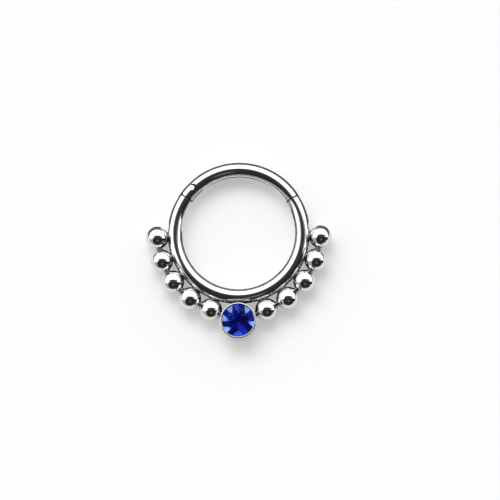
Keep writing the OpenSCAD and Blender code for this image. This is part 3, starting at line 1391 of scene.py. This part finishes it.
def build_segment():
    """The hinged segment with its fork and its latch blade."""
    ring = settings().ring
    wire = mm(ring.wire_radius)
    gap = mm(ring.joint_gap) / mm(ring.ring_radius)
    segment = wire_tube(
        "hinged_wire",
        ring.latch_angle + gap,
        ring.hinge_angle - gap,
        wire,
        rounding=mm(ring.end_rounding),
    )
    pin_frame = placed(pin_angle(), PIN_PLACE, along_wire=True)
    floor = wire - PIN_OFFSET + SLOT_PAST_WIRE
    far = WELL_THROUGH
    slot_outline = [(floor - 2 * far, -far), (floor, -far), (floor, far), (floor - 2 * far, far)]
    fork_slot = prism("fork slot", slot_outline, pin_frame, FORK_SLOT_THICKNESS)
    hole = pin_drill("pin hole", PIN_HOLE_RADIUS, sides=64)
    reach = np.linalg.norm((PIN_PLACE - ring_centre())[:2])
    swing_out = reach * math.sin(ring.hinge_angle - pin_angle())
    swing = swing_out - SWING_GAP
    level = reach * math.cos(ring.hinge_angle - pin_angle())
    from_angle = math.asin(SWING_FROM / swing)
    arc = arc_points((0, -swing_out), swing, math.pi / 2 - from_angle, SWING_TO, count=17)
    half = THROUGH / 2
    corner = prism(
        "swing corner",
        [*arc, (far, -half), (far, half), (SWING_FROM, half)],
        placed(ring.hinge_angle, round_ring(ring.hinge_angle, level)),
        2.0 * THROUGH,
    )
    combine(segment, [fork_slot, hole, corner, spot_tool()], "DIFFERENCE")
    half = BLADE_HALF_WIDTH
    tip = arc_points((0, half - BLADE_LENGTH), half, math.pi, 2 * math.pi, count=25)
    blade = prism(
        "latch blade",
        [(half, BLADE_ROOT), (-half, BLADE_ROOT), *tip],
        placed(ring.latch_angle, round_ring(ring.latch_angle)),
        BLADE_THICKNESS,
    )
    combine(segment, [blade], "UNION")
    polish(segment, field_wire)
    dress(segment, steel(), sawn_steel())
    mark_saw_cuts(segment, field_wire, ring_centre()[1], SPOT_DEPTH)
    settle(segment, "segment", "polished_steel", "hinged_segment")


def build_pin():
    """The hinge pin, its heads dressed down to the wire and to the ground spot."""
    ring = settings().ring
    centre = ring_centre()
    rings = [(PIN_RADIUS * share, 0.0) for share in PIN_RINGS]
    for t in PIN_EDGE_RINGS:
        rings.append((PIN_RADIUS - PIN_EDGE * (1 - math.sin(t)), PIN_EDGE * (1 - math.cos(t))))
    sides = PIN_SIDES
    above_wire = mm(ring.wire_radius) + PIN_PROUD

    def level(place, sign):
        """Height of the dressed head over the ring's own level."""
        off = np.linalg.norm(place - centre[:2]) - mm(ring.ring_radius)
        dressed = math.sqrt(max(above_wire**2 - off**2, 0))
        return min(dressed, spot_level(place) + PIN_OVER_SPOT) if sign > 0 else dressed

    points, faces = [], []
    for sign in (1, -1):
        start = len(points)
        head = level(PIN_PLACE[:2], sign)
        points.append((PIN_PLACE[0], PIN_PLACE[1], centre[2] + sign * head))
        for radius, sunk in rings:
            for b in round_angles(sides):
                place = PIN_PLACE[:2] + radius * np.array([math.cos(b), math.sin(b)])
                points.append((*place, centre[2] + sign * (level(place, sign) - sunk)))
        for k in range(sides):
            after = (k + 1) % sides
            faces.append([start, start + 1 + k, start + 1 + after])
            for i in range(len(rings) - 1):
                a = start + 1 + i * sides
                faces.append([a + k, a + sides + k, a + sides + after, a + after])
    half = len(points) // 2
    faces += band(half - sides, 2 * half - sides, sides)
    pin = solid("hinge_rivet", points, faces)
    polish(pin)
    colour = scaled_colour(settings().finish.steel_colour, PIN_SHADE)
    dressed = metal("dressed rivet steel", colour, roughness=0.07, waves=1.4, hairlines=1.6, haze=1.4)
    dress(pin, dressed)
    settle(pin, "segment", "polished_steel", "hinge_pin")


def build_stone():
    """The round brilliant cut stone: clear crown, pavilion backed by foils with painted flashes and
    painted shade.
    """
    bottom, top = STONE_LOW[2], STONE_HIGH[2]
    inwards = math.cos(math.pi / 8)
    table_radius = TABLE_SHARE * GIRDLE_RADIUS
    inner, outer = STAR_SHARES
    star_radius = (table_radius * inner + GIRDLE_RADIUS * outer) / inwards
    star_drop = (star_radius * inwards - table_radius) / (GIRDLE_RADIUS - table_radius)
    star_height = top - (top - GIRDLE_TOP) * star_drop
    half_radius = HALF_FACET_SHARE * GIRDLE_RADIUS
    half_height = bottom + (GIRDLE_LOW - bottom) * half_radius * inwards / GIRDLE_RADIUS
    cx, cy, _ = cup_centre()

    def corners(radius, height, count, start):
        """Corners evenly spaced round the stone's axis."""
        made = []
        for i in range(count):
            a = start + 2 * math.pi * i / count + STONE_TURN
            made.append((cx + radius * math.cos(a), cy + radius * math.sin(a), height))
        return made

    eighth = math.pi / 8
    points = corners(table_radius, top, 8, 0)
    points += corners(star_radius, star_height, 8, eighth)
    points += corners(GIRDLE_RADIUS, GIRDLE_TOP, 16, 0)
    points += corners(GIRDLE_RADIUS, GIRDLE_LOW, 16, 0)
    points += corners(half_radius, half_height, 8, eighth)
    points.append((cx, cy, bottom))
    table, star, upper, lower, half, culet = 0, 8, 16, 32, 48, 56
    crown_faces = [[table + i for i in range(8)]]
    back_faces = []
    for i in range(8):
        after = (i + 1) % 8
        before = (i + 7) % 8
        crown_faces.append([table + i, star + i, table + after])
        crown_faces.append([table + i, star + before, upper + 2 * i, star + i])
        crown_faces.append([star + i, upper + 2 * i, upper + 2 * i + 1])
        crown_faces.append([star + i, upper + 2 * i + 1, upper + (2 * i + 2) % 16])
        back_faces.append([half + i, lower + 2 * i + 1, lower + 2 * i])
        back_faces.append([half + i, lower + (2 * i + 2) % 16, lower + 2 * i + 1])
        back_faces.append([culet, half + before, lower + 2 * i, half + i])
    girdle_faces = []
    for i in range(16):
        after = (i + 1) % 16
        girdle_faces.append([upper + i, lower + i, lower + after, upper + after])
    stone = solid("cut_stone", points, crown_faces + girdle_faces + back_faces)
    materials = [stone_glass()]
    foil_of = {}
    for name, setting, metallic, roughness, painted_glow, fade, facets in FOILS:
        foil_of.update({facet: len(materials) for facet in facets})
        colour = getattr(settings().finish, setting)
        materials.append(stone_foil(name, colour, metallic, roughness, painted_glow, fade))
    dress(stone, *materials)
    first_back = len(crown_faces) + len(girdle_faces)
    for face in stone.data.polygons[first_back:]:
        face.material_index = foil_of.get(face.index - first_back, 1)
    settle(stone, "ring", "blue_stone", "stone")


# Stage


# A direction leans at least this much, so that straight up has a bearing too.
NEARLY_UPRIGHT = 1e-5


def direction_degrees():
    """Group: a direction as degrees from straight up, to the latch side and to the segment."""
    outputs = [("Across", "NodeSocketFloat"), ("Back", "NodeSocketFloat")]
    tree, _, out = group_of("direction in degrees", [], outputs)
    where = node(tree, "ShaderNodeTexCoord").outputs["Generated"]
    parts = node(tree, "ShaderNodeSeparateXYZ")
    tree.links.new(where, parts.inputs[0])
    x, y, z = parts.outputs
    height = math_node(tree, "MINIMUM", math_node(tree, "MAXIMUM", z, -1.0), 1.0)
    degrees = math_node(tree, "MULTIPLY", math_node(tree, "ARCCOSINE", height), 180 / math.pi)
    flat = math_node(tree, "MAXIMUM", right_angle_length(tree, x, y), NEARLY_UPRIGHT)
    scale = math_node(tree, "DIVIDE", degrees, flat)
    tree.links.new(math_node(tree, "MULTIPLY", scale, x), out.inputs["Across"])
    tree.links.new(math_node(tree, "MULTIPLY", scale, y), out.inputs["Back"])
    return tree


def soft_shape():
    """Group: a soft-edged panel in the sky, 1 inside it and 0 outside."""
    tree, given, out = group_of(
        "soft panel",
        [
            ("Across", "NodeSocketFloat", 0.0),
            ("Back", "NodeSocketFloat", 0.0),
            ("Middle Across", "NodeSocketFloat", 0.0),
            ("Middle Back", "NodeSocketFloat", 0.0),
            ("Half Width", "NodeSocketFloat", 40.0),
            ("Half Height", "NodeSocketFloat", 30.0),
            ("Squareness", "NodeSocketFloat", 2.0),
            ("Edge", "NodeSocketFloat", 0.1),
        ],
        [("Mask", "NodeSocketFloat")],
    )
    powers = []
    sides = (("Across", "Middle Across", "Half Width"), ("Back", "Middle Back", "Half Height"))
    for place, middle, size in sides:
        away = math_node(tree, "SUBTRACT", given.outputs[place], given.outputs[middle])
        share = math_node(tree, "DIVIDE", math_node(tree, "ABSOLUTE", away), given.outputs[size])
        powers.append(math_node(tree, "POWER", share, given.outputs["Squareness"]))
    total = math_node(tree, "ADD", *powers)
    reach = math_node(tree, "POWER", total, math_node(tree, "DIVIDE", 1.0, given.outputs["Squareness"]))
    inner = math_node(tree, "SUBTRACT", 1.0, given.outputs["Edge"])
    outer = math_node(tree, "ADD", 1.0, given.outputs["Edge"])
    mask = smooth_range(tree, reach, inner, outer, to_low=1.0, to_high=0.0)
    tree.links.new(mask, out.inputs["Mask"])
    return tree


# Panels in the studio's sky, each laid over the ones before it: name, middle across and
# back, half width and height, all in degrees from straight up, squareness, soft edge, colour
# and whether the softbox setting scales it.
SKY_PANELS = (
    ("dark far wall", 0, 105, 150, 108, 8, 0.04, (0.03, 0.028, 0.027), False),
    ("softbox", 0, 0, 84, 84, 2, 0.03, (1.0, 1.0, 1.01), True),
    ("bright core", -12, 41, 30, 15, 2, 0.3, (5.0, 5.0, 5.1), True),
    ("front room", 0, -104, 150, 90, 8, 0.09, (0.5, 0.5, 0.49), False),
    ("grey camera rim", 12, 3, 46, 15, 2.2, 0.12, (0.36, 0.37, 0.41), False),
    ("dark camera side", 8, -40, 54, 44, 2.4, 0.07, (0.03, 0.028, 0.027), False),
    ("dark camera top", 7, -1, 30, 14, 2.2, 0.16, (0.05, 0.05, 0.055), False),
    ("dark side", 66, -24, 36, 17, 2, 0.16, (0.025, 0.026, 0.034), False),
    ("lens glint", 8, -37, 9, 9, 2, 0.5, (0.2, 0.19, 0.19), False),
)
SKY_BASE = (0.7, 0.7, 0.7)

# The panel that only shades the floor: as a reflection it is too bright for thin lines.
UNREFLECTED_PANEL = "bright core"

# The black card's outline: it lies behind the ring and reaches a little forward beside it.
CARD_OUTLINE = (
    (-60, 2.8),
    (-6.4, 2.8),
    (-6.4, 5.4),
    (6.4, 5.4),
    (6.4, 2.8),
    (60, 2.8),
    (60, 60),
    (-60, 60),
)

# The second black card lies inside the ring and paints dark reflections onto the ring's inner
# edge: this far out, from one angle round to another.
INNER_CARD_RADIUS = 4.35
INNER_CARD_FROM = math.radians(177)
INNER_CARD_TO = math.radians(385)

# The third lies under the ring and the balls, and stands for the shade there.
SHADE_CARD_RADII = (5.3, 7.6)
SHADE_CARD_FROM = math.radians(178)
SHADE_CARD_TO = math.radians(362)

# The cards' height over the floor, their two blacks, and half the floor's size.
CARD_HEIGHT = 0.02
CARD_BLACKS = ((0.02, 0.02, 0.021), (0.05, 0.048, 0.047))
FLOOR_HALF = 600

# The paper's darkest places as a share of its brightness, and the height of its tooth.
PAPER_SHADE = 0.985
PAPER_TOOTH = 0.01


def shade_card_outline():
    """The outline of the black card under the ring and the balls."""
    middle = ring_centre()[:2]
    inner, outer = SHADE_CARD_RADII
    back = arc_points(middle, inner, SHADE_CARD_TO, SHADE_CARD_FROM, count=49)
    return arc_points(middle, outer, SHADE_CARD_FROM, SHADE_CARD_TO, count=49) + back


def inner_dark_reflection_card_outline():
    """The outline of the black card inside the ring, round the ring's middle."""
    middle = ring_centre()[:2]
    return arc_points(middle, INNER_CARD_RADIUS, INNER_CARD_FROM, INNER_CARD_TO, count=49)


def build_sky():
    """Soft studio light from all round, with the softbox and the dark camera side."""
    world = bpy.data.worlds.new("soft studio")
    bpy.context.scene.world = world
    world.use_nodes = True
    tree = world.node_tree
    background = tree.nodes["Background"]
    where = node(tree, "ShaderNodeGroup", node_tree=direction_degrees())
    shape = soft_shape()
    strength = settings().stage.softbox_strength
    colour = rgba(SKY_BASE)
    glossy = node(tree, "ShaderNodeLightPath").outputs["Is Glossy Ray"]
    for name, across, back, width, height, square, edge, shade, scaled in SKY_PANELS:
        panel = node(tree, "ShaderNodeGroup", node_tree=shape, label=name)
        tree.links.new(where.outputs["Across"], panel.inputs["Across"])
        tree.links.new(where.outputs["Back"], panel.inputs["Back"])
        values = (across, back, width, height, square, edge)
        for socket, value in zip(panel.inputs[2:], values):
            socket.default_value = value
        if scaled:
            shade = scaled_colour(shade, strength)
        mask = panel.outputs["Mask"]
        if name == UNREFLECTED_PANEL:
            mask = math_node(tree, "MULTIPLY", mask, math_node(tree, "SUBTRACT", 1.0, glossy))
        colour = mix_colour(tree, mask, colour, rgba(shade))
    tree.links.new(colour, background.inputs["Color"])


def floor_paper():
    """Pale matt paper with a faint tooth, on a light table that shines through it a little."""
    made, tree, shader = new_material("pale paper")
    where = node(tree, "ShaderNodeTexCoord").outputs["Object"]
    tooth = noise(tree, where, scale=2500, detail=4)
    lights = (("Base Color", settings().stage.floor_colour), ("Emission Color", (1, 1, 1)))
    for label, colour in lights:
        shaded = scaled_colour(colour, PAPER_SHADE)
        paper = mix_colour(tree, tooth, rgba(colour), rgba(shaded))
        tree.links.new(paper, shader.inputs[label])
    shader.inputs["Emission Strength"].default_value = settings().stage.floor_glow
    shader.inputs["Roughness"].default_value = 0.75
    shader.inputs["Specular IOR Level"].default_value = 0.25
    bumped(tree, shader, tooth, PAPER_TOOTH)
    return made


def black_card():
    """Matt black card that only reflections see."""
    made, tree, shader = new_material("black card")
    where = node(tree, "ShaderNodeTexCoord").outputs["Object"]
    fleck = noise(tree, where, scale=300)
    dark, light = CARD_BLACKS
    card = mix_colour(tree, fleck, rgba(dark), rgba(light))
    tree.links.new(card, shader.inputs["Base Color"])
    shader.inputs["Roughness"].default_value = 0.9
    return made


def flat_sheet(name, outline, height=0.0):
    """A level sheet on the stage, from its outline in millimetres."""
    mesh = bpy.data.meshes.new(name)
    points = [(MM * x, MM * y, MM * height) for x, y in outline]
    mesh.from_pydata(points, [], [list(range(len(points)))])
    made = new_object(name, mesh)
    return made


def build_camera():
    """The camera, at the photograph's angle and framing."""
    stage = settings().stage
    tilt, side = stage.camera_tilt, stage.camera_side
    back = Vector((math.sin(tilt) * math.sin(side), -math.sin(tilt) * math.cos(side), math.cos(tilt)))
    up = (Vector((0, 1, 0)) - back * back.y).normalized()
    right = up.cross(back)
    data = bpy.data.cameras.new("camera")
    camera = new_object("camera", data)
    left = (PICTURE_MIDDLE - RING_PIXEL[0]) / PIXELS_PER_MM
    above = (PICTURE_MIDDLE - RING_PIXEL[1]) / PIXELS_PER_MM
    aim = Vector(ring_centre()) + right * left - up * above
    turn = Matrix((right, up, back)).transposed().to_4x4()
    camera.matrix_world = Matrix.Translation((aim + back * stage.camera_distance / MM) * MM) @ turn
    data.sensor_width = 36
    picture_width = 2 * PICTURE_MIDDLE / PIXELS_PER_MM
    data.lens = data.sensor_width * stage.camera_distance / MM / picture_width
    data.clip_start = 0.01
    data.clip_end = 10
    bpy.context.scene.camera = camera


def build_stage():
    """The sky, the floor, the black cards and the camera."""
    build_sky()
    half = FLOOR_HALF
    floor = flat_sheet("floor", [(-half, -half), (half, -half), (half, half), (-half, half)])
    dress(floor, floor_paper())
    matt = black_card()
    cards = {
        "black_card": CARD_OUTLINE,
        "inner_card": inner_dark_reflection_card_outline(),
        "shade_card": shade_card_outline(),
    }
    for name, outline in cards.items():
        card = flat_sheet(name, outline, height=CARD_HEIGHT)
        dress(card, matt)
        card.visible_camera = False
        card.visible_diffuse = False
        card.visible_shadow = False
        card.visible_transmission = False
    build_camera()
    bpy.context.scene.view_settings.view_transform = "Standard"


# Operators


class NOSEHOOP_OT_hoop(bpy.types.Operator):
    """Build the ring with its balls, solder and cup"""

    bl_idname = "nose_hoop.hoop"
    bl_label = "Ring with balls and cup"

    def execute(self, context):
        build_hoop()
        return {"FINISHED"}


class NOSEHOOP_OT_segment(bpy.types.Operator):
    """Build the hinged segment with its fork and latch blade"""

    bl_idname = "nose_hoop.segment"
    bl_label = "Hinged segment"

    def execute(self, context):
        build_segment()
        return {"FINISHED"}


class NOSEHOOP_OT_pin(bpy.types.Operator):
    """Build the hinge pin"""

    bl_idname = "nose_hoop.pin"
    bl_label = "Hinge pin"

    def execute(self, context):
        build_pin()
        return {"FINISHED"}


class NOSEHOOP_OT_stone(bpy.types.Operator):
    """Build the cut stone"""

    bl_idname = "nose_hoop.stone"
    bl_label = "Stone"

    def execute(self, context):
        build_stone()
        return {"FINISHED"}


class NOSEHOOP_OT_stage(bpy.types.Operator):
    """Build the floor, the light and the camera"""

    bl_idname = "nose_hoop.stage"
    bl_label = "Stage"

    def execute(self, context):
        build_stage()
        return {"FINISHED"}


class NOSEHOOP_PT_panel(bpy.types.Panel):
    """Builds the nose hoop's pieces and shows their settings"""

    bl_label = "Nose Hoop"
    bl_idname = "NOSEHOOP_PT_panel"
    bl_space_type = "VIEW_3D"
    bl_region_type = "UI"
    bl_category = "Nose Hoop"

    def draw(self, context):
        layout = self.layout
        for operator in OPERATORS:
            layout.operator(operator.bl_idname)
        for part in ("ring", "balls", "cup", "finish", "stage"):
            group = getattr(context.scene.nose_hoop, part)
            box = layout.box()
            box.label(text=part.capitalize())
            for name in group.__annotations__:
                box.prop(group, name)


SETTING_GROUPS = (RingSettings, BallSettings, CupSettings, FinishSettings, StageSettings, NoseHoopSettings)
OPERATORS = (NOSEHOOP_OT_hoop, NOSEHOOP_OT_segment, NOSEHOOP_OT_pin, NOSEHOOP_OT_stone, NOSEHOOP_OT_stage)
CLASSES = (*SETTING_GROUPS, *OPERATORS, NOSEHOOP_PT_panel)


def register():
    """Makes the settings, the operators and the panel known to Blender."""
    for kind in CLASSES:
        bpy.utils.register_class(kind)
    bpy.types.Scene.nose_hoop = PointerProperty(type=NoseHoopSettings)


def unregister():
    """Takes them away again."""
    del bpy.types.Scene.nose_hoop
    for kind in reversed(CLASSES):
        bpy.utils.unregister_class(kind)


def main():
    """Builds every piece."""
    register()
    bpy.ops.nose_hoop.hoop()
    bpy.ops.nose_hoop.segment()
    bpy.ops.nose_hoop.pin()
    bpy.ops.nose_hoop.stone()
    bpy.ops.nose_hoop.stage()
    bpy.context.view_layer.update()


if __name__ == "__main__":
    main()
